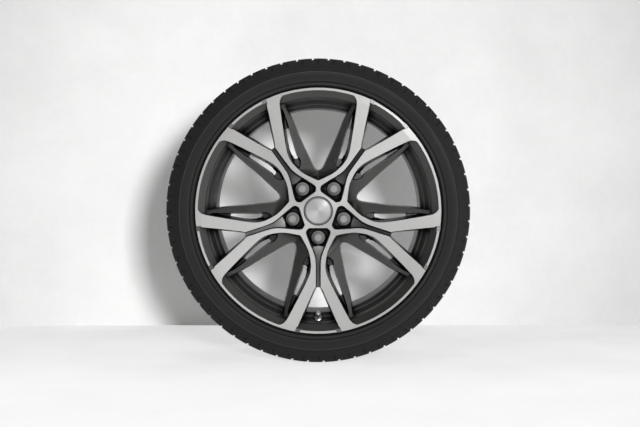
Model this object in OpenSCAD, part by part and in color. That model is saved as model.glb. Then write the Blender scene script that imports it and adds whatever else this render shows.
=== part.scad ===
// Alloy car wheel: a one-piece five-hole casting with ten forked spokes, its
// tyre, its cap, its five bolts with covers and its inflation valve.
// The wheel is drawn lying down, with its axis along Z and its face up, and
// stood() turns it so that the axis lies along Y and the face looks to -Y.
// All sizes are millimetres. The origin is on the axis, midway between the
// two flanges.

/* [Rim] */
// Diameter of the two bead seats (19 inch code)
seat_d = 482.6; // [470:0.2:500]
// Width between the inner faces of the flanges (8 inch code)
rim_w = 203.2; // [190:0.1:216]
// Height of each flange above its bead seat
flange_h = 17.3; // [16.5:0.1:19]
// Thickness of each flange, seen from the side
flange_t = 10.4; // [9.5:0.1:12]
// Width of the flat machined ring on the outer flange
lip_w = 6.2; // [5:0.1:7.5]
// Depth of the well below the bead seats
well_h = 17.3; // [15:0.1:19]
// Thickness of the barrel wall
wall = 6; // [5.4:0.1:6.6]
// Distance from the middle plane of the rim to the hub face
hub_offset = 45; // [40:0.5:50]

/* [Hub] */
// Diameter of the centre bore
bore_d = 66.1; // [60:0.1:67.5]
// Length of the centre bore
bore_len = 27; // [22:0.5:29]
// Diameter of the bolt circle
bolt_circle = 114.3; // [112:0.1:118]
// Diameter of the flat hub face
pad_d = 150; // [146:0.5:156]
// Depth of the face at the hub behind the outer flange
face_dish = 14; // [10:0.5:17]
// Depth of the bolt pockets below the face
pocket_deep = 20; // [17:0.5:22]
// Diameter of the recess round each bolt
well_bolt_d = 35; // [32:0.5:36]

/* [Spokes] */
// Draft of the walls in the pockets, in the forks and on the arms, in degrees
draft = 6.5; // [4:0.5:8]
// Draft of the outer walls of the forked spokes, in degrees
leg_draft = 9; // [7:0.5:11]
// Depth of the dark arms below the face, at their spoke side
arm_drop = 4; // [3:0.5:8]
// Sideways slope of the dark arms, in degrees
arm_tilt = 20; // [15:1:24]
// Thickness of the low webs at the ends of the slots
web_t = 9; // [6:0.5:12]
// Diameter of the rounded inner end of each slot
slot_end_d = 10.5; // [9:0.5:12]

/* [Bolts] */
// Diameter of the bolt shanks
bolt_d = 12; // [11:0.5:13]
// Diameter of the bolt holes
bolt_hole_d = 14.6; // [14.4:0.1:15]
// Length of the shank behind the hub face
bolt_reach = 26; // [22:1:32]
// Width across the flats of the bolt heads
bolt_hex = 17; // [16:0.5:17.5]
// Height of the hexagon
hex_h = 12; // [10:0.5:14]
// Thickness of the hub under each bolt seat
seat_t = 13; // [11:0.5:15]
// Diameter of the bolt collar
collar_d = 25; // [24:0.5:26]
// Outer diameter of the skirt of each bolt cover
cover_d = 28.6; // [27:0.1:30]
// Diameter of the raised part of each bolt cover
cover_top_d = 22.4; // [22.3:0.1:24]

/* [Centre cap] */
// Diameter of the recess for the cap
cap_hole_d = 60; // [58:0.2:61]
// Diameter of the bright face of the cap
cap_face_d = 51.6; // [48:0.2:54]
// Diameter of the throat that the clips grip
throat_d = 54; // [52:0.2:55]
// Height of the dome on the cap's face
cap_dome = 1.6; // [1:0.1:2.5]

/* [Tyre] */
// Outer diameter of the tyre
tyre_d = 647; // [636:1:660]
// Width of the tyre at its widest
tyre_w = 235; // [228:1:245]
// Width of the tread
tread_w = 214; // [205:1:222]
// Depth of the tread grooves
tread_deep = 8; // [6:0.5:9]
// Depth of the flat where the tyre stands, pressed in by its own weight
flat_deep = 1.8; // [1.4:0.1:3]
// Number of shoulder blocks on each side
blocks = 60; // [48:1:66]
// Width of the notch between two shoulder blocks
notch_w = 5; // [3.5:0.5:6.5]
// Thickness of the sidewall
side_t = 9; // [7:0.5:11]
// Thickness of the crown under the tread grooves
crown_t = 8; // [7:0.5:10]

/* [Valve] */
// Angle between the valve and the axis of the wheel
valve_tilt = 30; // [24:1:34]
// Diameter of the valve hole
valve_hole_d = 11.3; // [11:0.1:12]
// Diameter of the boss round the valve hole
valve_boss_d = 22; // [20:0.5:24]
// Length of the valve in front of its boss
valve_len = 27; // [24:0.5:30]
// Diameter of the valve nut
valve_nut_d = 13.6; // [13:0.2:15]

/* [Fit] */
// Gap between a seated piece and its seat
seat_gap = 0.2; // [0.1:0.05:0.3]
// Gap between the tyre beads and the rim
bead_gap = 0.2; // [0.1:0.05:0.3]

/* [Hidden] */
$fn = 96;
turn = 360 / 5;
seat_r = seat_d / 2;
lip_r = seat_r + flange_h;
lip_in = lip_r - lip_w;
half_w = rim_w / 2;
lip_z = half_w + flange_t;
well_r = seat_r - well_h;
face_z = lip_z - face_dish;
circle_r = bolt_circle / 2;
// Radius of the notch where two forked spokes meet at the hub
notch_r = circle_r + 6.85;
// The spoke outlines are drawn for these two radii, and fit() stretches them
// to the hub and the rim in use.
drawn_notch = 64;
drawn_lip = 252.4;
// Radius where the cone of the face meets the flat machined ring
flat_r = lip_in - 8;
pocket_z = face_z - pocket_deep;
lean = tan(draft);
leg_lean = tan(leg_draft);

function fit(p) = let (r = norm(p), k = notch_r / drawn_notch,
  far = notch_r + (r - drawn_notch) * (lip_in - notch_r) / (drawn_lip - drawn_notch))
  r <= drawn_notch ? p * k : p * far / r;
function fit_all(l) = [for (p = l) fit(p)];
function flip(l) = [for (p = l) [-p.x, p.y]];
// Rounds the corners of an open outline by cutting each one at a quarter
function soften(l) = [for (i = [0 : len(l) - 1]) each (i == 0 || i == len(l) - 1 ? [l[i]] :
  [0.75 * l[i] + 0.25 * l[i - 1], 0.75 * l[i] + 0.25 * l[i + 1]])];
function back(l) = [for (i = [len(l) - 1 : -1 : 0]) l[i]];

// Height of the machined face at the point p
function face_at(p) = let (r = norm(p))
  r < notch_r ? face_z : face_z + (min(r, flat_r) - notch_r) * face_dish / (flat_r - notch_r);
// Height of the dark arms, a plane that rises with the face and falls sideways
arm_dir = [cos(67.5), sin(67.5)];
arm_in = [-arm_dir.y, arm_dir.x];
arm_from = [40, 85.5];
function arm_at(p) = let (q = p - fit(arm_from))
  face_z - arm_drop + q * arm_dir * 0.078 - q * arm_in * tan(arm_tilt);
// Height of the floor of the bolt pocket and of the channel behind it
function floor_at(p) = pocket_z + max(0, p.y - circle_r - 12) * 0.13;

// The unit normals that move each side of a closed outline out by 1
function edge_out(a, b) = let (d = b - a) [d.y, -d.x] / norm(d);
function mitre(p, i) = let (n = len(p),
  u = edge_out(p[(i + n - 1) % n], p[i]), v = edge_out(p[i], p[(i + 1) % n]))
  (u + v) / (1 + u * v);

// A bar between two edges l and r with sloped walls: its outline holds at the
// height mid(p), and it widens downwards by k for each unit of height.
module bar(l, r, k, mid, high, low) {
  p = concat(r, back(l));
  n = len(p);
  m = len(r);
  top = [for (i = [0 : n - 1]) let (q = p[i] + mitre(p, i) * k * (mid(p[i]) - high(p[i])))
    [q.x, q.y, high(p[i])]];
  bottom = [for (i = [0 : n - 1]) let (q = p[i] + mitre(p, i) * k * (mid(p[i]) - low(p[i])))
    [q.x, q.y, low(p[i])]];
  sides = [for (i = [0 : n - 1]) let (j = (i + 1) % n) [i, j, n + j, n + i]];
  caps = [for (i = [0 : m - 2]) each [[i, n - 1 - i, n - 2 - i, i + 1],
    [n + i, n + i + 1, 2 * n - 2 - i, 2 * n - 1 - i]]];
  polyhedron(points = concat(top, bottom), faces = concat(sides, caps));
}

module around() {
  for (i = [0 : 4]) rotate(i * turn) children();
}

module between() {
  for (i = [0 : 4]) rotate((i + 0.5) * turn) children();
}

module both() {
  children();
  mirror([1, 0, 0]) children();
}

module stood() {
  rotate([90, 0, 0]) children();
}

// Barrel, flanges, bead seats, humps and well, as one turned section
hump = 1.4;
seat_len = 21;
seat_drop = seat_len * tan(5);
well_front = half_w - 45;
well_back = well_front - 36;
rear_r = seat_r - 6.3;
rear_in = rear_r - wall - 1.2;
inner_r = well_r - wall;

function flange_side(s) = [
  [lip_r - 1.2, s * lip_z], [lip_r, s * (lip_z - 1.2)], [lip_r, s * (lip_z - 4)],
  [lip_r - 1.3, s * (lip_z - 7)], [lip_r - 4.4, s * (half_w + 0.9)],
  [lip_r - 7.6, s * half_w], [seat_r + 6.4, s * half_w],
  [seat_r + 3.2, s * (half_w - 0.9)], [seat_r + 0.9, s * (half_w - 3.2)],
  [seat_r, s * (half_w - 6.5)], [seat_r - seat_drop, s * (half_w - seat_len)],
  [seat_r - seat_drop + hump, s * (half_w - seat_len - 2)],
  [seat_r - seat_drop + hump, s * (half_w - seat_len - 4)],
  [seat_r - seat_drop, s * (half_w - seat_len - 6.5)]];

module barrel() {
  rotate_extrude() polygon(concat(
    [[lip_in, lip_z]],
    flange_side(1),
    [[seat_r - 4.5, half_w - 33], [well_r + 3, well_front + 4], [well_r, well_front],
      [well_r, well_back], [well_r + 3, well_back - 5], [rear_r - 2.5, well_back - 22],
      [rear_r, well_back - 40], [rear_r, -half_w + seat_len + 12]],
    back(flange_side(-1)),
    [[lip_in + 1, -lip_z], [lip_in - 3, -lip_z + 3], [seat_r - 3, -half_w - 3.5],
      [rear_in + 2, -half_w - 2.5], [rear_in, -half_w],
      [rear_in - 3, well_back - 58], [inner_r + 5.5, well_back - 24],
      [inner_r, well_back], [inner_r, well_front], [inner_r + 1, well_front + 5],
      [inner_r + 6, well_front + 9.5], [inner_r + 8, well_front + 13.5],
      [inner_r + 9, well_front + 19.5], [inner_r + 13, well_front + 23.5],
      [seat_r - 6.8, half_w - 16], [seat_r - 5.8, half_w - 9],
      [seat_r - 4.6, half_w - 1.5], [seat_r - 2.6, half_w + 2],
      [lip_in - 1.6, lip_z - 1.4]]));
}

// The space that the spokes may fill: the face, the back and the root in the wall
module spoke_room() {
  rotate_extrude() polygon([
    [0, face_z], [notch_r, face_z], [flat_r, lip_z], [lip_in + 1.6, lip_z],
    [lip_in + 1.6, lip_z - 6.2], [seat_r + 1.6, half_w + 1], [seat_r - 2.4, half_w - 5],
    [seat_r - 3.4, half_w - 16], [inner_r + 15.5, well_front + 21.5],
    [inner_r + 12, well_front + 15.5], [inner_r + 10, well_front + 9.5],
    [inner_r + 5.5, well_front + 5], [inner_r + 3, well_front + 1.5],
    [inner_r - 12, well_front + 7], [inner_r - 38, well_front + 14],
    [notch_r + 58, hub_offset + 21], [notch_r + 26, hub_offset + 10],
    [pad_d / 2 + 6, hub_offset + 3], [pad_d / 2, hub_offset], [0, hub_offset]]);
}

// Window side of a forked spoke, from the hub notch out to the machined ring
leg_side = soften(fit_all([[45, 44], [37.6, 51.8], [31.9, 60.9], [26.7, 70.8], [21.9, 80.3],
  [18.8, 89], [16.8, 99.7], [15.6, 107], [15, 114.5], [15.3, 122.7], [16.8, 130.1],
  [19.4, 138], [23.8, 147.6], [31.2, 162.8], [45.2, 189.7], [54.6, 207.7],
  [64.2, 225.3], [69, 232.2], [74.6, 236.6], [80.8, 238.6], [87.5, 237.9],
  [91, 247], [60, 268]]));
// Side of the gap between the two prongs of a forked spoke
gap_side = fit_all([[5.2, 160], [9.4, 166.5], [13.6, 176], [30.4, 212.8],
  [42.8, 240.9], [48.5, 253], [53, 270]]);
// Side of a bolt pocket and of the channel that runs out from it
pocket_side = soften(fit_all([[19, 36], [24.6, 40.5], [26.4, 45.5], [24.8, 51.5], [21.6, 60],
  [18.6, 67.5], [15, 75.5], [11.6, 83.8], [8.6, 91.5], [6.6, 99], [5.6, 107],
  [5.2, 116], [5.2, 150], [5.2, 175]]));
// Window side and slot side of a dark arm
arm_window = soften(fit_all([[-6, 60], [-5.5, 84.3], [0, 84.3], [5, 85.8], [9.8, 90],
  [13.5, 96.5], [16.4, 103], [19.5, 110], [23.8, 120], [33.5, 140], [42, 160], [50, 180],
  [60, 200], [68, 215], [73, 228], [76, 240]]));
arm_slot = soften(fit_all([[20, 60], [34, 74], [42, 80], [42.5, 86.5], [37.4, 93.5],
  [36, 101], [37.2, 109], [41.4, 115], [45.2, 123.5], [50, 140], [56, 160], [61.5, 178],
  [68, 198], [73.5, 212], [82, 222], [92, 236]]));

module legs() {
  between() bar(flip(leg_side), leg_side, leg_lean,
    function(p) face_at(p), function(p) lip_z + 6, function(p) hub_offset - 4);
}

module gaps() {
  between() bar(flip(gap_side), gap_side, -lean,
    function(p) face_at(p), function(p) lip_z + 8, function(p) hub_offset - 6);
}

module pockets() {
  between() bar(flip(pocket_side), pocket_side, -lean,
    function(p) face_at(p), function(p) lip_z + 8, function(p) floor_at(p));
}

module arms() {
  around() both() bar(arm_window, arm_slot, lean,
    function(p) arm_at(p), function(p) arm_at(p), function(p) hub_offset - 3);
}

// Low webs that close the two ends of each slot
web_in = fit_all([[26, 74], [50, 80], [70, 110], [72, 140], [60, 140], [40, 130],
  [34, 112]]);
web_out = fit_all([[56, 174.5], [76, 174.5], [92, 232], [70, 232]]);

// Point at the radius r, turned by a degrees from the Y axis
function polar(r, a) = r * [sin(a), cos(a)];

// Shallow dips in the machined ring beside each prong, where the paint stays.
// The ring between them ends in half circles.
dip_deep = 1.2;
dip_from = 7.96;
dip_to = 10.65;
module lip_dips() {
  between() both() difference() {
    translate([0, 0, lip_z - dip_deep]) linear_extrude(dip_deep + 1) polygon([
      polar(lip_in - 5, dip_from), polar(lip_in - 5, dip_to),
      polar(lip_r + 4, dip_to + 0.5), polar(lip_r + 4, dip_from)]);
    translate(polar(lip_r - lip_w / 2, dip_from)) cylinder(d = lip_w, h = lip_z + 1);
  }
}

// Troughs in the back of the prongs, which save weight
back_left = fit_all([[16.6, 170.7], [28.1, 194.7], [37.6, 213.7]]);
back_right = fit_all([[27.4, 165.3], [38.9, 189.3], [48.4, 208.3]]);
trough_top = face_z - 12;
module back_troughs() {
  between() both() bar(back_left, back_right, lean,
    function(p) trough_top, function(p) trough_top, function(p) hub_offset - 6);
}

module web(outline, z) {
  translate([0, 0, hub_offset + 2]) linear_extrude(z - hub_offset - 2) polygon(outline);
}

// Middle of the slot's rounded end, and the slot's outline beyond it
slot_end = fit([47.4, 115.7]);
slot_r = slot_end_d / 2;
slot_side = concat([[slot_end.x - slot_r, slot_end.y], [slot_end.x + slot_r, slot_end.y]],
  fit_all([[56.6, 120.3], [59.6, 127.4], [61.7, 134.5], [62.6, 142], [44, 142]]));

module webs() {
  around() both() {
    difference() {
      web(web_in, hub_offset + 18 + web_t);
      translate(slot_end) cylinder(d = slot_end_d, h = lip_z);
      linear_extrude(lip_z) polygon(slot_side);
    }
    web(web_out, hub_offset + 21 + web_t);
  }
}

module hub_disc() {
  translate([0, 0, hub_offset]) cylinder(r = notch_r - 1.6, h = face_z - hub_offset);
  translate([0, 0, hub_offset]) cylinder(d = pad_d, h = 12);
}

seat_z = hub_offset + seat_t;
cone_half = 30;
// Room round the collar at the top of the cone seat
cone_room = 0.5;
collar_z = seat_z + (collar_d - bolt_hole_d) / 2 / tan(cone_half);
cone_top = collar_z + cone_room / tan(cone_half);

// Bolt hole with its cone seat and the round recess for the socket
module bolt_seat() {
  translate([0, circle_r, 0]) {
    translate([0, 0, hub_offset - 1]) cylinder(d = bolt_hole_d, h = seat_t + 2);
    translate([0, 0, seat_z])
      cylinder(d1 = bolt_hole_d, d2 = collar_d + 2 * cone_room, h = cone_top - seat_z);
    translate([0, 0, cone_top - 0.01]) cylinder(d = well_bolt_d - 4, h = face_z - cone_top);
    translate([0, 0, pocket_z - 3]) cylinder(d = well_bolt_d, h = 12);
  }
}

throat_z = hub_offset + bore_len;
recess_z = face_z - 5;
groove_z = recess_z - 12;

// Centre bore from behind, throat with its clip groove, and cap recess
module centre_holes() {
  rotate_extrude() polygon([
    [0, hub_offset - 1], [bore_d / 2 + 2.5, hub_offset - 1], [bore_d / 2, hub_offset + 1.5],
    [bore_d / 2, throat_z], [throat_d / 2, throat_z], [throat_d / 2, groove_z - 2],
    [throat_d / 2 + 1, groove_z], [throat_d / 2 + 1, groove_z + 2.5],
    [throat_d / 2, groove_z + 4], [throat_d / 2, recess_z], [cap_hole_d / 2, recess_z],
    [cap_hole_d / 2, face_z - 1], [cap_hole_d / 2 + 1, face_z + 0.01], [cap_hole_d / 2 + 1, face_z + 1],
    [0, face_z + 1]]);
}

// Pockets in the back of the hub between the bolts
module hub_pockets() {
  around() translate([0, circle_r - 1, hub_offset - 1]) cylinder(d = 25, h = 15);
}

valve_r = inner_r + 11;
valve_z = well_front + 15;

// Puts its children on the valve's axis, with the boss face at their zero
module valve_place() {
  translate([0, -valve_r, valve_z]) rotate([-valve_tilt, 0, 0]) children();
}

module alloy_rim() {
  color("silver") stood() difference() {
    union() {
      difference() {
        union() {
          intersection() {
            difference() {
              union() {
                legs();
                arms();
                webs();
              }
              gaps();
            }
            spoke_room();
          }
          hub_disc();
        }
        pockets();
      }
      barrel();
      valve_place() translate([0, 0, -7]) cylinder(d = valve_boss_d, h = 7);
    }
    lip_dips();
    back_troughs();
    centre_holes();
    between() bolt_seat();
    hub_pockets();
    valve_place() translate([0, 0, -16]) cylinder(d = valve_hole_d, h = 30);
    valve_place() translate([0, 0, -20]) cylinder(d = 18, h = 14);
    valve_place() cylinder(d = valve_boss_d + 2, h = 12);
  }
}

// Tyre section: sidewalls that bulge past the flanges, beads, crown and tread
tyre_r = tyre_d / 2;
tyre_half = tyre_w / 2;
tread_half = tread_w / 2;
bead_r = seat_r + bead_gap;
bead_z = half_w - bead_gap;
side_h = tyre_r - lip_r;

function bow(a, b, c, n) = [for (i = [0 : n]) let (t = i / n)
  a * (1 - t) * (1 - t) + b * 2 * t * (1 - t) + c * t * t];

// Two low ribs round each sidewall, at the fifth and sixth point of its bow
rib_high = 0.6;
rib_half = 1;
function rib(p, s) = [[p.x - rib_half, p.y], [p.x - rib_half + rib_high, p.y + s * rib_high],
  [p.x + rib_half - rib_high, p.y + s * rib_high], [p.x + rib_half, p.y]];
function ribbed(l, s) = [for (i = [0 : len(l) - 1]) each (i == 4 || i == 5 ? rib(l[i], s) : [l[i]])];

// Radius at the share t of the sidewall, from the flange to the tread
function side_at(t) = lip_r + side_h * t;

function side_out(s) = concat(
  [[lip_r + 1.5, s * (half_w + 3)], [lip_r + 2.6, s * (tyre_half - 6.5)],
    [side_at(0.07), s * (tyre_half - 3.4)], [side_at(0.14), s * (tyre_half - 3.2)],
    [side_at(0.17), s * (tyre_half - 4.4)]],
  ribbed(bow([side_at(0.2), s * (tyre_half - 2.8)], [side_at(0.42), s * (tyre_half + 2.4)],
    [side_at(0.65), s * (tyre_half - 4)], 6), s),
  [[side_at(0.74), s * (tread_half + 2.6)], [side_at(0.855), s * tread_half],
    [tyre_r - 5.4, s * (tread_half - 4)], [tyre_r - 3.2, s * (tread_half - 11)]]);

function side_in(s) = concat(
  bow([tyre_r - tread_deep - crown_t - 3, s * (tread_half - 24)],
    [tyre_r - tread_deep - crown_t - 8, s * (tyre_half - side_t)],
    [side_at(0.37), s * (tyre_half - side_t)], 5),
  [[side_at(0.09), s * (half_w - side_t + 5)], [seat_r + 14, s * (half_w - side_t - 4)],
    [seat_r + 2, s * (half_w - seat_len + 2.5)]]);

function bead(s) = [
  [bead_r - seat_drop * 0.75, s * (half_w - seat_len + 3)],
  [bead_r, s * (half_w - 6.5 - bead_gap)], [bead_r + 1, s * (bead_z - 3.2)],
  [bead_r + 3.3, s * (bead_z - 0.9)], [bead_r + 6.5, s * bead_z],
  [lip_r - 7.5, s * bead_z], [lip_r - 4, s * (half_w + 0.6)],
  [lip_r - 0.9, s * (lip_z - 7.2)], [lip_r + 0.5, s * (lip_z - 4.4)]];

// Half the width of each groove that runs round the tread, and its place
groove_half = 4.5;
groove_at = [17, 52];
function crown_at(z) = tyre_r - 3.2 * pow(z / (tread_half - 11), 2);
function groove(z) = [
  [crown_at(z - groove_half), z - groove_half], [crown_at(z) - tread_deep, z - groove_half + 1],
  [crown_at(z) - tread_deep, z + groove_half - 1], [crown_at(z + groove_half), z + groove_half]];

module tyre_ring() {
  rotate_extrude() polygon(concat(
    bead(1), side_out(1),
    back(groove(groove_at[1])), back(groove(groove_at[0])), [[tyre_r, 0]],
    back(groove(-groove_at[0])), back(groove(-groove_at[1])),
    back(side_out(-1)), back(bead(-1)), back(side_in(-1)), side_in(1)));
}

// How far the notches reach down the shoulder
notch_low = side_h * 0.185;

// Notches between the shoulder blocks and slanted grooves across the tread
module notches() {
  for (i = [0 : blocks - 1]) rotate(i * 360 / blocks) {
    for (s = [-1, 1]) translate([0, tyre_r - tread_deep, s * groove_at[1]])
      rotate([0, s * -14, 0]) translate([-notch_w / 2, 0, s > 0 ? 0 : -90])
      cube([notch_w, tread_deep + 6, 90]);
    for (s = [-1, 1]) translate([0, tyre_r - tread_deep + 1.5, s * (tread_half - 5)])
      rotate([s * -12, 0, 0]) rotate([0, s * -14, 0])
      translate([-notch_w / 2, -notch_low, s > 0 ? 0 : -30])
      cube([notch_w, notch_low + 12, 30]);
  }
}

module tyre() {
  color("dimgray") stood() difference() {
    tyre_ring();
    notches();
    translate([-tyre_r, -tyre_r - 20 + flat_deep, -tyre_w]) cube([tyre_d, 20, 2 * tyre_w]);
  }
}

// Bolts and their covers, on the axis of bolt number k
module bolt_place(k) {
  rotate((k - 0.5) * turn) translate([0, circle_r, 0]) children();
}

seat_lift = seat_gap / sin(cone_half);
collar_top = collar_z + seat_lift + 1.5;
hex_r = bolt_hex / 2 / cos(30);

module wheel_bolt(k) {
  color("gray") stood() bolt_place(k) {
    rotate_extrude() polygon([[0, hub_offset - bolt_reach],
      [bolt_d / 2 - 1.5, hub_offset - bolt_reach], [bolt_d / 2, hub_offset - bolt_reach + 1.5],
      [bolt_d / 2, seat_z + seat_lift], [bolt_hole_d / 2, seat_z + seat_lift],
      [collar_d / 2, collar_z + seat_lift], [collar_d / 2, collar_top], [0, collar_top]]);
    difference() {
      translate([0, 0, collar_top - 1]) cylinder(r = hex_r, h = hex_h + 1, $fn = 6);
      translate([0, 0, collar_top + hex_h - 4]) cylinder(d = bolt_hex * 0.55, h = 5);
    }
  }
}

cover_z = collar_top + seat_gap;
cover_top = collar_top + hex_h + 2.6;
cover_in = hex_r + seat_gap;

module bolt_cover(k) {
  color("darkgray") stood() bolt_place(k) rotate_extrude() polygon([
    [cover_in, cover_z], [cover_d / 2 - 0.6, cover_z], [cover_d / 2, cover_z + 0.6],
    [cover_d / 2, cover_z + 1.6], [cover_d / 2 - 1.2, cover_z + 2.6],
    [cover_top_d / 2 + 0.4, cover_z + 3], [cover_top_d / 2, cover_z + 3.6],
    [cover_top_d / 2, cover_top - 3.4], [cover_top_d / 2 - 0.9, cover_top - 1.8],
    [cover_top_d / 2 - 3.4, cover_top - 0.6], [cover_top_d / 2 - 3.9, cover_top],
    [0, cover_top], [0, cover_top - 1.6], [cover_in - 1, cover_top - 1.6],
    [cover_in, cover_top - 2.6]]);
}

// Centre cap: carrier with six clips, bright face and the wire ring
cap_flange_z = recess_z + seat_gap;
cap_flange_r = cap_hole_d / 2 - seat_gap - 0.1;
cap_plate = 3.2;
clip_r = throat_d / 2 - seat_gap;
clip_t = 1.8;
clip_gap = 9;
clip_len = 14.5;
ring_wire = 1.4;
ring_z = groove_z + 1.2;

module clips() {
  difference() {
    rotate_extrude() polygon([
      [clip_r - clip_t, cap_flange_z + 1], [clip_r - clip_t, cap_flange_z - clip_len],
      [clip_r - 0.6, cap_flange_z - clip_len], [clip_r + 0.6, groove_z + 0.6],
      [clip_r + 0.6, groove_z + 1.8], [clip_r, groove_z + 3.4], [clip_r, cap_flange_z + 1]]);
    for (i = [0 : 5]) rotate(i * 60) translate([0, -clip_gap / 2, cap_flange_z - clip_len - 1])
      cube([throat_d, clip_gap, clip_len + 1]);
  }
}

module centre_cap() {
  color("dimgray") stood() {
    difference() {
      translate([0, 0, cap_flange_z]) rotate_extrude() polygon([[0, 0], [cap_flange_r, 0],
        [cap_flange_r, cap_plate], [cap_flange_r - 1, cap_plate + 0.8],
        [cap_flange_r - 2.2, cap_plate + 0.8], [cap_flange_r - 2.6, cap_plate],
        [cap_face_d / 2 + 0.6, cap_plate], [0, cap_plate]]);
      translate([0, 0, cap_flange_z + cap_plate - 1.2]) cylinder(d = cap_face_d + 2 * seat_gap, h = 4);
    }
    clips();
    translate([0, 0, cap_flange_z - 2.4]) cylinder(r = clip_r - clip_t - 3, h = 2.5);
  }
}

// The bright face: a low dome, as a turned arc
face_low = cap_flange_z + cap_plate - 1.2 + seat_gap;
face_edge = 1.7;
module cap_face() {
  color("lightgray") stood() rotate_extrude() polygon(concat([[0, face_low],
    [cap_face_d / 2, face_low], [cap_face_d / 2, face_low + face_edge]],
    [for (i = [1 : 8]) let (x = 1 - i / 8) [x * cap_face_d / 2,
      face_low + face_edge + cap_dome * (1 - x * x)]]));
}

module clip_ring() {
  color("silver") stood() difference() {
    rotate_extrude() translate([clip_r - clip_t - ring_wire / 2 - 0.1, ring_z])
      circle(d = ring_wire, $fn = 24);
    translate([0, -2, ring_z - 2]) cube([throat_d, 4, 4]);
  }
}

// Valve, on its own axis: the boss face is at 0 and the stem points up
wall_in = 6;
stem_r = 3.85;
head_r = 7.8;
head_t = 2;
grommet_t = 1.8;
nut_low = 1.2 + 2 * seat_gap;
nut_h = 5;
core_r = 2.45;
core_low = 9;
core_high = valve_len - 4;
core_in = 1.95;
core_lid = 1.5;
pin_r = 0.6;
pin_hole = 0.9;
pin_travel = 1.2;
web_low = 1.3;
pin_collar = 15.5;
spring_wire = 0.35;
spring_turns = 6;

module on_valve() {
  stood() valve_place() children();
}

module valve_stem() {
  color("lightgray") on_valve() difference() {
    union() {
      translate([0, 0, -wall_in - grommet_t - head_t]) cylinder(r = head_r, h = head_t);
      translate([0, 0, -wall_in - grommet_t - head_t])
        cylinder(r = stem_r, h = valve_len + wall_in + grommet_t + head_t);
    }
    translate([0, 0, -wall_in - grommet_t - head_t - 1]) cylinder(r = 1.7, h = 40);
    translate([0, 0, core_low - 3]) cylinder(r = core_r + seat_gap / 2, h = valve_len);
  }
}

module valve_grommet() {
  color("black") on_valve() difference() {
    union() {
      translate([0, 0, -wall_in - grommet_t]) cylinder(r = head_r + 0.6, h = grommet_t - seat_gap / 2);
      translate([0, 0, -wall_in - grommet_t]) cylinder(d = valve_hole_d - 0.2, h = wall_in + grommet_t);
    }
    translate([0, 0, -wall_in - grommet_t - 1]) cylinder(r = stem_r + seat_gap / 2, h = 20);
  }
}

module valve_washer() {
  color("silver") on_valve() translate([0, 0, seat_gap]) difference() {
    cylinder(d = valve_nut_d + 1.2, h = 1.2);
    translate([0, 0, -1]) cylinder(r = stem_r + seat_gap / 2, h = 4);
  }
}

module valve_nut() {
  color("silver") on_valve() translate([0, 0, nut_low]) difference() {
    union() {
      cylinder(d = valve_nut_d, h = nut_h - 1);
      translate([0, 0, nut_h - 1]) cylinder(d1 = valve_nut_d, d2 = valve_nut_d - 2, h = 1);
    }
    translate([0, 0, -1]) cylinder(r = stem_r + seat_gap / 2, h = nut_h + 2);
    for (i = [0 : 5]) rotate(i * 60) translate([valve_nut_d / 2 - 0.9, -5, 1.4]) cube([3, 10, 9]);
  }
}

module valve_core() {
  color("goldenrod") on_valve() difference() {
    translate([0, 0, core_low]) cylinder(r = core_r, h = core_high - core_low);
    translate([0, 0, core_low - 1]) cylinder(r = pin_hole, h = valve_len);
    translate([0, 0, core_low + web_low])
      cylinder(r = core_in, h = core_high - core_low - web_low - core_lid);
  }
}

module valve_pin() {
  color("gold") on_valve() {
    translate([0, 0, core_low - 1.8]) cylinder(r = pin_r, h = valve_len - 1 - core_low + 1.8);
    translate([0, 0, core_low - 1.8]) cylinder(r = 1.5, h = 1.5);
    translate([0, 0, pin_collar]) cylinder(r = 1.5, h = 0.8);
  }
}

// Coil spring round the pin, as a swept eight-sided wire
spring_low = core_low + web_low + spring_wire / 2 + 0.1;
spring_high = pin_collar - spring_wire / 2 - 0.1;
module valve_spring() {
  steps = spring_turns * 12;
  rings = [for (i = [0 : steps]) let (a = i * 30,
    z = spring_low + (spring_high - spring_low) * i / steps)
    [for (j = [0 : 7]) let (r = 1.3 + spring_wire / 2 * cos(j * 45))
      [r * cos(a), r * sin(a), z + spring_wire / 2 * sin(j * 45)]]];
  color("silver") on_valve() polyhedron(points = [for (r = rings) each r],
    faces = concat([[0, 1, 2, 3, 4, 5, 6, 7]], [[for (j = [7 : -1 : 0]) steps * 8 + j]],
      [for (i = [0 : steps - 1], j = [0 : 7]) let (k = (j + 1) % 8)
        [i * 8 + j, (i + 1) * 8 + j, (i + 1) * 8 + k, i * 8 + k]]));
}

cap_low = nut_low + nut_h + 2.5;
cap_high = valve_len + 2.4;
cap_r = 4.9;
module valve_cap() {
  color("lightgray") on_valve() difference() {
    union() {
      translate([0, 0, cap_low]) cylinder(r = cap_r, h = cap_high - cap_low - 1);
      translate([0, 0, cap_high - 1]) cylinder(r1 = cap_r, r2 = cap_r - 1, h = 1);
    }
    translate([0, 0, cap_low - 1])
      cylinder(r = stem_r + seat_gap, h = valve_len - cap_low + 1 + seat_gap);
  }
}

alloy_rim();
tyre();
centre_cap();
cap_face();
clip_ring();
for (k = [1 : 5]) wheel_bolt(k);
for (k = [1 : 5]) bolt_cover(k);
valve_stem();
valve_grommet();
valve_washer();
valve_nut();
valve_core();
valve_pin();
valve_spring();
valve_cap();
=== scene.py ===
# %% [markdown]
# # A two-tone alloy wheel with its tyre
#
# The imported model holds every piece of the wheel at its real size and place.
# This lesson gives those pieces their finish: bright turned metal and dark
# paint on the rim, rubber with fine ribs and cuts on the tyre, and satin
# plastic and metal on the small pieces. Lengths are metres, the axle lies
# along Y, and the face of the wheel looks to -Y.

# %% Load the frame
import math

import bmesh
import bpy
from mathutils import Matrix, Vector


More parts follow.
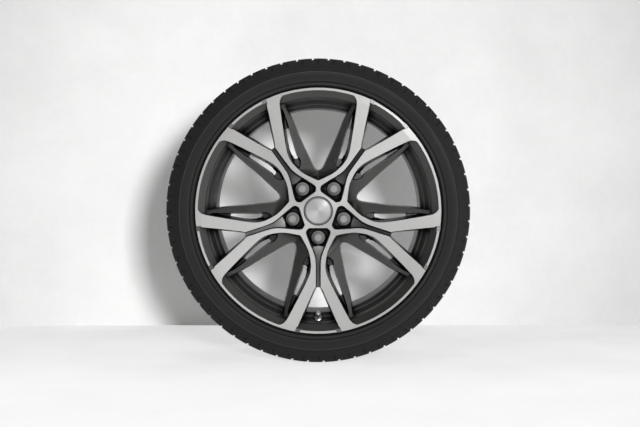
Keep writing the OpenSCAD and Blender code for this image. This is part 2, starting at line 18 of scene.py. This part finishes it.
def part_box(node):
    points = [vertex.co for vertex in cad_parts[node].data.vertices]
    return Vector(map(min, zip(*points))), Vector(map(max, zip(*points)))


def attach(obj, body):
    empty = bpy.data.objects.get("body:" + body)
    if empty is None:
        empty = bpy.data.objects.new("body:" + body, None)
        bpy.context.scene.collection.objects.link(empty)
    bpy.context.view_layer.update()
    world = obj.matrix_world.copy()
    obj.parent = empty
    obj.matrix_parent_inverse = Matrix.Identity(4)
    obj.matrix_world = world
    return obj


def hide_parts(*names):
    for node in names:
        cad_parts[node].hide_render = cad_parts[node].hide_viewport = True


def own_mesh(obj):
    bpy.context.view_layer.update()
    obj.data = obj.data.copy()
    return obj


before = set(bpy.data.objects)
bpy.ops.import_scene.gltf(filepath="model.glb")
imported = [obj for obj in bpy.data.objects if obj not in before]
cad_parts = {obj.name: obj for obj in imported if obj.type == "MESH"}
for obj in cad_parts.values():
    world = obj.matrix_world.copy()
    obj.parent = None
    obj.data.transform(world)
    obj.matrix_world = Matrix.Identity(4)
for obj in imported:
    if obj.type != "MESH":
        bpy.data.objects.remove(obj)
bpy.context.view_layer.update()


def rounded(point):
    return tuple(round(value, 4) for value in point)


# %% [markdown]
# ## The sizes that the finishes need
#
# The lathe cuts the face of the rim in one pass, so the bright metal lies on
# one cone, with a flat ring at the flange. Paint stays wherever the casting
# lies deeper than that cone. The cone comes from the same sizes as the rim.

# %% Sizes of the face
rim_low, rim_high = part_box("alloy_rim")
tyre_low, tyre_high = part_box("tyre")
LIP_DEPTH = -rim_low.y
FLANGE_R = rim_high.x
TYRE_R = tyre_high.x
FLOOR_Z = tyre_low.z
FACE_DISH = 0.014
NOTCH_R = 0.064
LIP_WIDTH = 0.0142
FLAT_R = FLANGE_R - LIP_WIDTH
print("flange radius, tyre radius, floor", rounded((FLANGE_R, TYRE_R, FLOOR_Z)))

# %% [markdown]
# ## Small helpers for materials
#
# A procedural material is a graph of nodes. These helpers add one node, link
# its inputs and return an output, so that each finish below reads like a
# recipe. Every pattern reads Object coordinates, which stay on the piece.

# %% Node helpers
def new_material(name):
    material = bpy.data.materials.new(name)
    material.use_nodes = True
    tree = material.node_tree
    shader = tree.nodes["Principled BSDF"]
    print("material", name)
    return material, tree, shader


def grey(level):
    return (level, level, level)


def math_node(tree, operation, a, b=None, c=None, clamp=False):
    node = tree.nodes.new("ShaderNodeMath")
    node.operation = operation
    node.use_clamp = clamp
    for socket, value in zip(node.inputs, (a, b, c)):
        if value is None:
            continue
        if isinstance(value, (int, float)):
            socket.default_value = value
        else:
            tree.links.new(value, socket)
    return node.outputs[0]


def wheel_coordinates(tree):
    """The place, its radius from the axle, its depth to the front and its angle."""
    coordinates = tree.nodes.new("ShaderNodeTexCoord")
    split = tree.nodes.new("ShaderNodeSeparateXYZ")
    tree.links.new(coordinates.outputs["Object"], split.inputs[0])
    x, y, z = split.outputs
    xx = math_node(tree, "MULTIPLY", x, x)
    radius = math_node(tree, "SQRT", math_node(tree, "MULTIPLY_ADD", z, z, xx))
    depth = math_node(tree, "MULTIPLY", y, -1.0)
    angle = math_node(tree, "ARCTAN2", z, x)
    return coordinates.outputs["Object"], radius, depth, angle


def noise(tree, vector, scale, detail=2.0, roughness=0.5):
    node = tree.nodes.new("ShaderNodeTexNoise")
    node.inputs["Scale"].default_value = scale
    node.inputs["Detail"].default_value = detail
    node.inputs["Roughness"].default_value = roughness
    tree.links.new(vector, node.inputs["Vector"])
    return node.outputs["Fac"]


def ramp(tree, value, low, high, out_low, out_high):
    node = tree.nodes.new("ShaderNodeMapRange")
    tree.links.new(value, node.inputs["Value"])
    limits = {"From Min": low, "From Max": high, "To Min": out_low, "To Max": out_high}
    for name, number in limits.items():
        node.inputs[name].default_value = number
    return node.outputs["Result"]


def mix_colour(tree, factor, a, b):
    node = tree.nodes.new("ShaderNodeMix")
    node.data_type = "RGBA"
    tree.links.new(factor, node.inputs["Factor"])
    for socket, value in ((node.inputs[6], a), (node.inputs[7], b)):
        if isinstance(value, tuple):
            socket.default_value = (*value, 1.0)
        else:
            tree.links.new(value, socket)
    return node.outputs[2]


def bump(tree, shader, height, distance, strength=1.0):
    node = tree.nodes.new("ShaderNodeBump")
    node.inputs["Distance"].default_value = distance
    node.inputs["Strength"].default_value = strength
    tree.links.new(height, node.inputs["Height"])
    tree.links.new(node.outputs["Normal"], shader.inputs["Normal"])
    return node

# %% [markdown]
# ## The rim's two finishes
#
# The rim is painted dark grey all over and then turned on a lathe, which lays
# bare bright metal on the face. The fine rings that the tool leaves make the
# metal shine along a line through the axle, so its shine is anisotropic, with
# a tangent that points away from the axle. An Ambient Occlusion node darkens
# the paint's colour in the slots and channels, as painted shade. The edges of
# a casting are never quite sharp, and a Bevel node softens them.

# %% Turned metal
GROOVE_PITCH = 0.0007
GROOVE_DEPTH = 0.00001
STREAK_SCALE = 900.0
ROUGHNESS_SPREAD = 0.03


def across_the_rings(tree, place):
    """A tangent that points away from the axle, across the rings that the tool leaves."""
    split = tree.nodes.new("ShaderNodeSeparateXYZ")
    tree.links.new(place, split.inputs[0])
    join = tree.nodes.new("ShaderNodeCombineXYZ")
    tree.links.new(split.outputs["X"], join.inputs["X"])
    tree.links.new(split.outputs["Z"], join.inputs["Z"])
    turn = tree.nodes.new("ShaderNodeVectorTransform")
    turn.vector_type = "VECTOR"
    turn.convert_from = "OBJECT"
    turn.convert_to = "WORLD"
    tree.links.new(join.outputs[0], turn.inputs[0])
    return turn.outputs[0]


def turned_material(name, dark, light, rough, anisotropy):
    material, tree, shader = new_material(name)
    place, radius = wheel_coordinates(tree)[:2]
    cloud = noise(tree, place, 11.0, 3.0)
    tree.links.new(mix_colour(tree, cloud, dark, light), shader.inputs["Base Color"])
    turns = math_node(tree, "MULTIPLY", radius, 2 * math.pi / GROOVE_PITCH)
    ring = math_node(tree, "SINE", turns)
    streak = tree.nodes.new("ShaderNodeTexNoise")
    streak.noise_dimensions = "1D"
    streak.inputs["Scale"].default_value = STREAK_SCALE
    streak.inputs["Detail"].default_value = 3.0
    tree.links.new(radius, streak.inputs["W"])
    roughness = ramp(tree, streak.outputs["Fac"], 0.3, 0.7,
                     rough - ROUGHNESS_SPREAD, rough + ROUGHNESS_SPREAD)
    tree.links.new(roughness, shader.inputs["Roughness"])
    shader.inputs["Metallic"].default_value = 1.0
    shader.inputs["Anisotropic"].default_value = anisotropy
    shader.inputs["Coat Weight"].default_value = 0.05
    shader.inputs["Coat Roughness"].default_value = 0.15
    tree.links.new(across_the_rings(tree, place), shader.inputs["Tangent"])
    height = math_node(tree, "ADD", ring, streak.outputs["Fac"])
    bump(tree, shader, height, GROOVE_DEPTH, 0.5)
    return material


TURNED_METAL = turned_material("turned_alloy", (0.27, 0.268, 0.265), (0.315, 0.313, 0.31),
                               0.64, 0.65)
CAP_SILVER = turned_material("cap_silver", grey(0.23), grey(0.265), 0.60, 0.70)

# %% Dark paint
EDGE_SOFTNESS = 0.0006
PAINTED_SHADE_REACH = 0.020
PAINTED_SHADE_DARK = 0.46
PAINTED_SHADE_CLEAR = 0.95
FLAKE_SCALE = 2600.0
FLAKE_DEPTH = 0.00001


def paint_material():
    material, tree, shader = new_material("dark_rim_paint")
    place = wheel_coordinates(tree)[0]
    flake = noise(tree, place, FLAKE_SCALE, 1.0)
    cloud = noise(tree, place, 30.0, 3.0)
    lacquer = mix_colour(tree, flake, (0.041, 0.0404, 0.0398), (0.083, 0.0817, 0.080))
    # Painted shade: an Ambient Occlusion node darkens the paint's colour towards near black in
    # slots, channels and other recesses.
    shade_occlusion = tree.nodes.new("ShaderNodeAmbientOcclusion")
    shade_occlusion.samples = 8
    shade_occlusion.inputs["Distance"].default_value = PAINTED_SHADE_REACH
    painted_shade = ramp(tree, shade_occlusion.outputs["AO"], PAINTED_SHADE_DARK, PAINTED_SHADE_CLEAR, 0.0, 1.0)
    tree.links.new(mix_colour(tree, painted_shade, grey(0.006), lacquer), shader.inputs["Base Color"])
    tree.links.new(ramp(tree, cloud, 0.3, 0.7, 0.36, 0.42), shader.inputs["Roughness"])
    shader.inputs["Metallic"].default_value = 0.88
    shader.inputs["Coat Weight"].default_value = 0.06
    shader.inputs["Coat Roughness"].default_value = 0.25
    soft_edge = tree.nodes.new("ShaderNodeBevel")
    soft_edge.samples = 6
    soft_edge.inputs["Radius"].default_value = EDGE_SOFTNESS
    peel = bump(tree, shader, flake, FLAKE_DEPTH, 0.4)
    tree.links.new(soft_edge.outputs[0], peel.inputs["Normal"])
    return material


RIM_PAINT = paint_material()

# %% [markdown]
# ## The tyre's rubber
#
# New tyre rubber is nearly black, with a faint sheen. Its sidewall has fine
# ribs that run round it, and a thin ring where it meets the shoulder is painted
# lighter, a painted highlight along that ridge. The shoulder blocks carry thin
# zigzag cuts for grip on snow. The ribs and cuts are too fine to model, so
# they are bump, and the cuts are painted darker than the rubber, a painted
# shade inside them. The tread is painted a little lighter than the sidewall,
# a painted sheen where it is seen at a grazing angle.

# %% Tyre material
SIPES = 360
SIPE_PITCH = 2 * math.pi * TYRE_R / SIPES
SIPE_W = 0.0012
SIPE_DEPTH = 6.0
SIPE_BEND = 0.0035
SHOULDER_R = 0.3015
RIDGE_R = 0.2905
RIDGE_W = 0.0014
RIB_PITCH = 0.0016
RIB_HEIGHT = 0.00016
RIB_BANDS = ((0.2795, 0.0052), (0.3015, 0.0016))


def tyre_material():
    material, tree, shader = new_material("tyre_rubber")
    place, radius, depth, angle = wheel_coordinates(tree)
    grain = noise(tree, place, 900.0, 2.0)
    patch = noise(tree, place, 9.0, 3.0)
    base = mix_colour(tree, patch, (0.006, 0.0059, 0.0058), (0.010, 0.0098, 0.0096))
    tree.links.new(ramp(tree, patch, 0.3, 0.7, 0.60, 0.70), shader.inputs["Roughness"])
    ribs = math_node(tree, "SINE", math_node(tree, "MULTIPLY", radius, 2 * math.pi / RIB_PITCH))
    low_band, high_band = (math_node(tree, "COMPARE", radius, middle, reach)
                           for middle, reach in RIB_BANDS)
    banded = math_node(tree, "MULTIPLY", ribs, math_node(tree, "MAXIMUM", low_band, high_band))
    across = math_node(tree, "SUBTRACT", radius, depth)
    zigzag = math_node(tree, "PINGPONG", across, SIPE_BEND)
    around = math_node(tree, "MULTIPLY_ADD", angle, TYRE_R, zigzag)
    cut = math_node(tree, "PINGPONG", around, SIPE_PITCH / 2)
    tread = math_node(tree, "GREATER_THAN", radius, SHOULDER_R)
    sipe = math_node(tree, "MULTIPLY", math_node(tree, "LESS_THAN", cut, SIPE_W / 2), tread)
    ridge = math_node(tree, "COMPARE", radius, RIDGE_R, RIDGE_W / 2)
    # Painted sheen: the tread is painted a little lighter than the sidewall, for its shine at a
    # grazing angle.
    base = mix_colour(tree, tread, base, (0.015, 0.0148, 0.0144))
    # Painted shade: the cuts are painted near black and, further down, lose their specular shine,
    # for the shade inside them.
    base = mix_colour(tree, sipe, base, grey(0.001))
    # Painted highlight: a thin ring along the ridge is painted lighter than the rubber.
    base = mix_colour(tree, ridge, base, grey(0.030))
    tree.links.new(base, shader.inputs["Base Color"])
    tree.links.new(ramp(tree, sipe, 0.0, 1.0, 0.20, 0.0), shader.inputs["Specular IOR Level"])
    cuts = math_node(tree, "MULTIPLY", sipe, -SIPE_DEPTH)
    height = math_node(tree, "ADD", math_node(tree, "ADD", banded, cuts), grain)
    bump(tree, shader, height, RIB_HEIGHT, 0.8)
    return material


RUBBER = tyre_material()

# %% [markdown]
# ## The small pieces' finishes
#
# Plastic, bare steel, brass and satin metal differ in colour, gloss and grain.
# One recipe with a fine noise makes all of them, each with its own numbers.

# %% Plain finishes
GRAIN_SCALE = 1400.0
GRAIN_DEPTH = 0.00003


def plain_material(name, dark, light, metallic, rough):
    material, tree, shader = new_material(name)
    place = wheel_coordinates(tree)[0]
    speck = noise(tree, place, GRAIN_SCALE, 2.0)
    cloud = noise(tree, place, 60.0, 2.0)
    tree.links.new(mix_colour(tree, cloud, dark, light), shader.inputs["Base Color"])
    roughness = ramp(tree, speck, 0.3, 0.7, rough - 0.05, rough + 0.05)
    tree.links.new(roughness, shader.inputs["Roughness"])
    shader.inputs["Metallic"].default_value = metallic
    bump(tree, shader, speck, GRAIN_DEPTH, 0.5)
    return material


CAP_PLASTIC = plain_material("cap_plastic", (0.05, 0.05, 0.052), (0.07, 0.07, 0.072), 0.0, 0.45)
COVER_PLASTIC = plain_material("cover_plastic", (0.14, 0.139, 0.137), (0.18, 0.179, 0.177),
                               0.30, 0.56)
BOLT_STEEL = plain_material("bolt_steel", (0.32, 0.32, 0.33), (0.42, 0.42, 0.43), 1.0, 0.40)
SPRING_STEEL = plain_material("spring_steel", (0.50, 0.50, 0.51), (0.58, 0.58, 0.59), 1.0, 0.28)
VALVE_METAL = plain_material("valve_metal", (0.66, 0.66, 0.67), (0.74, 0.74, 0.75), 0.9, 0.28)
VALVE_BRASS = plain_material("valve_brass", (0.60, 0.45, 0.20), (0.72, 0.55, 0.27), 1.0, 0.30)
VALVE_RUBBER = plain_material("valve_rubber", grey(0.015), grey(0.025), 0.0, 0.6)

# %% [markdown]
# ## Smooth copies of the turned and cast pieces
#
# A CAD mesh is a set of loose flat triangles, so a turned surface shows
# facets. A copy whose triangles are merged can be shaded smooth, with sharp
# edges kept by their angle, and the Weighted Normal modifier lets the large
# faces decide the shading. The copy stands for the node, which stays hidden.

# %% Copy, merge and smooth
MERGE_GAP = 0.000004


def select_only(piece):
    bpy.ops.object.select_all(action="DESELECT")
    bpy.context.view_layer.objects.active = piece
    piece.select_set(True)


def merged_copy(node):
    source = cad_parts[node]
    mesh = source.data.copy()
    piece = bpy.data.objects.new(node + "_finished", mesh)
    bpy.context.scene.collection.objects.link(piece)
    select_only(piece)
    bpy.ops.object.mode_set(mode="EDIT")
    bpy.ops.mesh.select_all(action="SELECT")
    bpy.ops.mesh.remove_doubles(threshold=MERGE_GAP)
    bpy.ops.object.mode_set(mode="OBJECT")
    return piece


def smooth(piece, angle):
    select_only(piece)
    bpy.ops.object.shade_smooth_by_angle(angle=math.radians(angle))
    weighted = piece.modifiers.new("weighted normals", "WEIGHTED_NORMAL")
    weighted.keep_sharp = True
    bpy.ops.object.modifier_apply(modifier=weighted.name)
    piece.select_set(False)
    print(piece.name, len(piece.data.polygons), "faces")

# %% [markdown]
# ## Deeper cuts between the tyre's shoulder blocks
#
# On the real tyre the cuts between the shoulder blocks run straight out over
# the edge of the tread, so they nick its outline. The model's grooves slant.
# One box for each cut, taken away by a Boolean modifier, opens them.

# %% Shoulder cuts
BLOCKS = 60
CUT_W = 0.0042
CUT_X = -0.0115
CUT_FROM = 0.050
CUT_TO = 0.125
CUT_DEPTH = 0.0076
CUT_BOX = 0.012
CUT_BOTTOM = TYRE_R - CUT_DEPTH


def shoulder_cutters():
    work = bmesh.new()
    size = Matrix.Diagonal((CUT_W, CUT_TO - CUT_FROM, CUT_BOX, 1.0))
    for side in (-1, 1):
        middle = (CUT_X, side * (CUT_FROM + CUT_TO) / 2, CUT_BOTTOM + CUT_BOX / 2)
        place = Matrix.Translation(middle)
        for number in range(BLOCKS):
            turn = Matrix.Rotation(number * 2 * math.pi / BLOCKS, 4, "Y")
            bmesh.ops.create_cube(work, size=1.0, matrix=turn @ place @ size)
    mesh = bpy.data.meshes.new("shoulder_cutters")
    work.to_mesh(mesh)
    work.free()
    cutters = bpy.data.objects.new("shoulder_cutters", mesh)
    bpy.context.scene.collection.objects.link(cutters)
    return cutters


def cut_shoulders(piece):
    cutters = shoulder_cutters()
    before = len(piece.data.polygons)
    cut = piece.modifiers.new("shoulder cuts", "BOOLEAN")
    cut.operation = "DIFFERENCE"
    cut.solver = "EXACT"
    cut.object = cutters
    bpy.context.view_layer.objects.active = piece
    bpy.ops.object.modifier_apply(modifier=cut.name)
    bpy.data.objects.remove(cutters)
    print("shoulder cuts", before, "to", len(piece.data.polygons), "faces")

# %% [markdown]
# ## True normals on lathe-turned surfaces
#
# The barrel, the covers and the cap are surfaces of revolution, but their
# triangles are long slivers, and averaged normals would show them as dents.
# Round its own axis, such a surface has the same slope all the way, so each
# face's slope is averaged with its neighbours' and turned to every corner.

# %% Normals of revolved surfaces
SIDEWAYS_LIMIT = 0.07
SAME_SLOPE = math.cos(math.radians(15.0))
NEAR_AXIS = 1e-6


def revolved_normals(piece, centre=(0.0, 0.0), from_radius=0.0):
    mesh = piece.data
    normals = [corner.vector.copy() for corner in mesh.corner_normals]
    slopes = {}
    round_faces = []
    for face in mesh.polygons:
        x = face.center.x - centre[0]
        z = face.center.z - centre[1]
        radius = math.hypot(x, z)
        if radius < max(from_radius, NEAR_AXIS):
            continue
        outwards = (face.normal.x * x + face.normal.z * z) / radius
        sideways = (face.normal.z * x - face.normal.x * z) / radius
        if abs(sideways) > SIDEWAYS_LIMIT:
            continue
        slope = Vector((outwards, face.normal.y)).normalized()
        round_faces.append((face, slope))
        for vertex in face.vertices:
            slopes.setdefault(vertex, []).append((slope, face.area))
    for face, slope in round_faces:
        for loop, vertex in zip(face.loop_indices, face.vertices):
            mean = Vector((0.0, 0.0))
            for other, area in slopes[vertex]:
                if slope.dot(other) > SAME_SLOPE:
                    mean += other * area
            mean.normalize()
            place = mesh.vertices[vertex].co
            x = place.x - centre[0]
            z = place.z - centre[1]
            radius = max(math.hypot(x, z), NEAR_AXIS)
            normal = Vector((mean.x * x / radius, mean.y, mean.x * z / radius))
            normals[loop] = normal.normalized()
    mesh.normals_split_custom_set(normals)
    print(piece.name, "revolved faces", len(round_faces))

# %% Dress the nodes
BARREL_FROM = 0.18
SMOOTH_BELOW = 28.0
SMOOTH_BELOW_ON_RIM = 12.0


def dress(node, material, slot_name):
    piece = merged_copy(node)
    if node == "tyre":
        cut_shoulders(piece)
    smooth(piece, SMOOTH_BELOW_ON_RIM if node == "alloy_rim" else SMOOTH_BELOW)
    if node == "alloy_rim":
        revolved_normals(piece, from_radius=BARREL_FROM)
    elif node in ("tyre", "cap_face", "centre_cap"):
        revolved_normals(piece)
    elif node.startswith("bolt_cover"):
        low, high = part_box(node)
        revolved_normals(piece, ((low.x + high.x) / 2, (low.z + high.z) / 2))
    piece.data.materials.clear()
    piece.data.materials.append(material)
    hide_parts(node)
    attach(piece, "pin" if node == "valve_pin" else "wheel")
    return piece


FINISHES = {
    "alloy_rim": (RIM_PAINT, "rim_alloy"),
    "tyre": (RUBBER, "tyre_rubber"),
    "centre_cap": (CAP_PLASTIC, "cap_plastic"),
    "cap_face": (CAP_SILVER, "cap_silver"),
    "clip_ring": (SPRING_STEEL, "spring_steel"),
    "valve_stem": (VALVE_METAL, "valve_metal"),
    "valve_grommet": (VALVE_RUBBER, "valve_rubber"),
    "valve_washer": (VALVE_METAL, "valve_metal"),
    "valve_nut": (VALVE_METAL, "valve_metal"),
    "valve_core": (VALVE_BRASS, "valve_brass"),
    "valve_pin": (VALVE_BRASS, "valve_brass"),
    "valve_spring": (SPRING_STEEL, "spring_steel"),
    "valve_cap": (VALVE_METAL, "valve_metal"),
}
for number in range(1, 6):
    FINISHES[f"wheel_bolt_{number}"] = (BOLT_STEEL, "bolt_steel")
    FINISHES[f"bolt_cover_{number}"] = (COVER_PLASTIC, "cover_plastic")

PIECES = {node: dress(node, *finish) for node, finish in FINISHES.items()}

# %% [markdown]
# ## The turned faces of the rim
#
# Every triangle whose corners lie on the lathe's cone is bright metal. Such
# triangles are long and thin, and averaged normals would make the metal look
# dented, so each corner gets the true normal of the cone at its own place.

# %% Turned faces
ON_CONE = 0.00004
FACES_FRONT = 0.93
BORE_EDGE_R = 0.0312
cone_tilt = math.atan2(FACE_DISH, FLAT_R - NOTCH_R)


def cone_depth(radius):
    share = min(max((radius - NOTCH_R) / (FLAT_R - NOTCH_R), 0.0), 1.0)
    return LIP_DEPTH - FACE_DISH * (1.0 - share)


def turn_face(piece, metal):
    mesh = piece.data
    mesh.materials.append(metal)
    normals = [corner.vector.copy() for corner in mesh.corner_normals]
    turned = 0
    for face in mesh.polygons:
        corners = [mesh.vertices[i].co for i in face.vertices]
        radii = [math.hypot(corner.x, corner.z) for corner in corners]
        middle = sum(radii) / len(radii)
        if face.normal.y > -FACES_FRONT or middle < BORE_EDGE_R:
            continue
        if any(-corner.y < cone_depth(radius) - ON_CONE
               for corner, radius in zip(corners, radii)):
            continue
        face.material_index = 1
        turned += 1
        tilt = cone_tilt if NOTCH_R < middle < FLAT_R else 0.0
        for loop, corner, radius in zip(face.loop_indices, corners, radii):
            inwards = math.sin(tilt) / max(radius, BORE_EDGE_R)
            normals[loop] = Vector((-corner.x * inwards, -math.cos(tilt), -corner.z * inwards))
    mesh.normals_split_custom_set(normals)
    print("turned faces", turned)


turn_face(PIECES["alloy_rim"], TURNED_METAL)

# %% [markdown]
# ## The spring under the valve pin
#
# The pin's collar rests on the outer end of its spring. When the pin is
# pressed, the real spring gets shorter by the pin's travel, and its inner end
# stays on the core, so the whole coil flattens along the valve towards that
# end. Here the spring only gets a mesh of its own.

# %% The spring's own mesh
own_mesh(PIECES["valve_spring"])

# %% [markdown]
# ## Floor and wall
#
# The wheel stands on a pale floor in front of a pale wall, which takes its
# soft shadow. The wall's colour is painted darker to the right and away from
# the wheel, a painted shade for the way the light falls off, and the floor's
# colour is painted darker to the right as well. The wall shows from its front
# only, so that the wheel can also be looked at from behind. The floor looks
# nearly white to the camera and to mirrors, more so in front of the wheel, but
# it lights the wheel only as much as its paint does.

# %% Stage
WALL_Y = 0.48
WALL_TOP = 6.0
REACH = 30.0
FLOOR_GAP = 0.0004
FRONT_Y = -0.35
BACK_Y = 0.30
FRONT_GLOW = 0.82
BACK_GLOW = 0.50
GLOW_MOTTLE = 1.5
LEFT_LEVEL = 0.97
RIGHT_LEVEL = 0.80
PLASTER = 0.03
FINE_PLASTER = 0.012
BRIGHT_X = -0.25
HEIGHT_WEIGHT = 1.4
FADE_FROM = 0.45
FADE_TO = 1.50
FADE_LEVEL = 0.70


def blend_shaders(tree, share, first, second):
    blend = tree.nodes.new("ShaderNodeMixShader")
    for socket, source in zip(blend.inputs, (share, first, second)):
        tree.links.new(source, socket)
    tree.links.new(blend.outputs[0], tree.nodes["Material Output"].inputs["Surface"])


def stage_material(name, is_wall):
    material, tree, shader = new_material(name)
    place = wheel_coordinates(tree)[0]
    split = tree.nodes.new("ShaderNodeSeparateXYZ")
    tree.links.new(place, split.inputs[0])
    plaster = ramp(tree, noise(tree, place, 5.0, 7.0, 0.62), 0.35, 0.65, -PLASTER, PLASTER)
    fine = ramp(tree, noise(tree, place, 60.0, 6.0, 0.7), 0.3, 0.7, -FINE_PLASTER, FINE_PLASTER)
    # Painted shade: the floor's and the wall's colour get darker to the right.
    across = ramp(tree, split.outputs["X"], -0.3, 0.9, LEFT_LEVEL, RIGHT_LEVEL)
    plain = math_node(tree, "ADD", math_node(tree, "ADD", across, plaster), fine)
    if is_wall:
        # Painted shade: the wall's colour gets darker away from a bright spot left of the wheel,
        # faster up and down than sideways.
        left = math_node(tree, "SUBTRACT", split.outputs["X"], BRIGHT_X)
        height = math_node(tree, "MULTIPLY", split.outputs["Z"], HEIGHT_WEIGHT)
        side = math_node(tree, "MULTIPLY", left, left)
        away = math_node(tree, "SQRT", math_node(tree, "MULTIPLY_ADD", height, height, side))
        painted_falloff = ramp(tree, away, FADE_FROM, FADE_TO, 1.0, FADE_LEVEL)
        plain = math_node(tree, "MULTIPLY", plain, painted_falloff)
        geometry = tree.nodes.new("ShaderNodeNewGeometry")
        clear = tree.nodes.new("ShaderNodeBsdfTransparent")
        blend_shaders(tree, geometry.outputs["Backfacing"], shader.outputs[0], clear.outputs[0])
    else:
        glow = ramp(tree, split.outputs["Y"], FRONT_Y, BACK_Y, FRONT_GLOW, BACK_GLOW)
        path = tree.nodes.new("ShaderNodeLightPath")
        seen = math_node(tree, "ADD", path.outputs["Is Camera Ray"], path.outputs["Is Glossy Ray"])
        seen = math_node(tree, "ADD", seen, path.outputs["Is Transmission Ray"], clamp=True)
        white = tree.nodes.new("ShaderNodeEmission")
        grain = math_node(tree, "ADD", plaster, fine)
        mottled = math_node(tree, "MULTIPLY_ADD", grain, GLOW_MOTTLE, glow)
        share = math_node(tree, "MULTIPLY", seen, mottled)
        blend_shaders(tree, share, shader.outputs[0], white.outputs[0])
    tree.links.new(plain, shader.inputs["Base Color"])
    shader.inputs["Roughness"].default_value = 0.9
    shader.inputs["Specular IOR Level"].default_value = 0.1
    return material


def stage_plane(name, corners, material):
    mesh = bpy.data.meshes.new(name)
    mesh.from_pydata(corners, [], [(0, 1, 2, 3)])
    plane = bpy.data.objects.new(name, mesh)
    bpy.context.scene.collection.objects.link(plane)
    mesh.materials.append(material)
    print("stage", name)


floor_z = FLOOR_Z - FLOOR_GAP
floor_corners = [(-REACH, -REACH, floor_z), (REACH, -REACH, floor_z),
                 (REACH, REACH, floor_z), (-REACH, REACH, floor_z)]
wall_corners = [(-REACH, WALL_Y, floor_z), (REACH, WALL_Y, floor_z),
                (REACH, WALL_Y, WALL_TOP), (-REACH, WALL_Y, WALL_TOP)]
stage_plane("floor", floor_corners, stage_material("floor_paint", False))
stage_plane("wall", wall_corners, stage_material("wall_paint", True))

# %% [markdown]
# ## Light
#
# The photo has one strong light in front, a little to the right and above the
# camera, which casts the wheel's soft shadow on the wall at its left. A weaker
# light grazes the wheel from the right and reaches into the barrel. Faint ones
# above and behind, and the plain world, keep the back and the recesses readable.

# %% Lights and world
WORLD_COLOUR = (1.0, 0.975, 0.94, 1.0)
WORLD_STRENGTH = 0.12


def area_light(name, place, size, power):
    light = bpy.data.lights.new(name, "AREA")
    light.shape = "SQUARE"
    light.size = size
    light.energy = power
    lamp = bpy.data.objects.new(name, light)
    lamp.location = place
    lamp.rotation_euler = (-Vector(place)).to_track_quat("-Z", "Y").to_euler()
    bpy.context.scene.collection.objects.link(lamp)
    print("light", name, power, "W")


area_light("key", (0.47, -2.75, 0.42), 0.32, 77)
area_light("side", (2.7, -0.95, 0.1), 0.7, 14)
area_light("top", (0, 0.1, 2.4), 1.2, 6)
area_light("back", (1.5, 2.3, 0.5), 1.0, 70)

world = bpy.data.worlds.new("studio")
bpy.context.scene.world = world
world.use_nodes = True
background = world.node_tree.nodes["Background"]
background.inputs["Color"].default_value = WORLD_COLOUR
background.inputs["Strength"].default_value = WORLD_STRENGTH

# %% [markdown]
# ## Camera
#
# The camera stands two metres in front of the face and slightly above the
# axle, which gives the photo's perspective on the barrel. It is aimed so that
# the hub falls where the photo has it.

# %% Camera
PHOTO_W = 640
PHOTO_H = 427
HUB_PX = (318.25, 211.1)
FACE_SCALE = 478.0
DISTANCE = 2.083
ELEVATION = math.radians(1.4)
SENSOR_MM = 36.0

camera_data = bpy.data.cameras.new("camera")
camera_data.sensor_width = SENSOR_MM
camera_data.lens = FACE_SCALE * DISTANCE * SENSOR_MM / PHOTO_W
camera = bpy.data.objects.new("camera", camera_data)
face_y = rim_low.y
camera.location = (0.0, face_y - DISTANCE * math.cos(ELEVATION),
                   DISTANCE * math.sin(ELEVATION))
aim_x = (PHOTO_W / 2 - HUB_PX[0]) / FACE_SCALE
aim_z = -(PHOTO_H / 2 - HUB_PX[1]) / FACE_SCALE
aim = Vector((aim_x, face_y, aim_z))
camera.rotation_euler = (aim - camera.location).to_track_quat("-Z", "Y").to_euler()
bpy.context.scene.collection.objects.link(camera)
bpy.context.scene.camera = camera
bpy.context.scene.view_settings.view_transform = "Standard"
print("lens", round(camera_data.lens, 2), "mm")
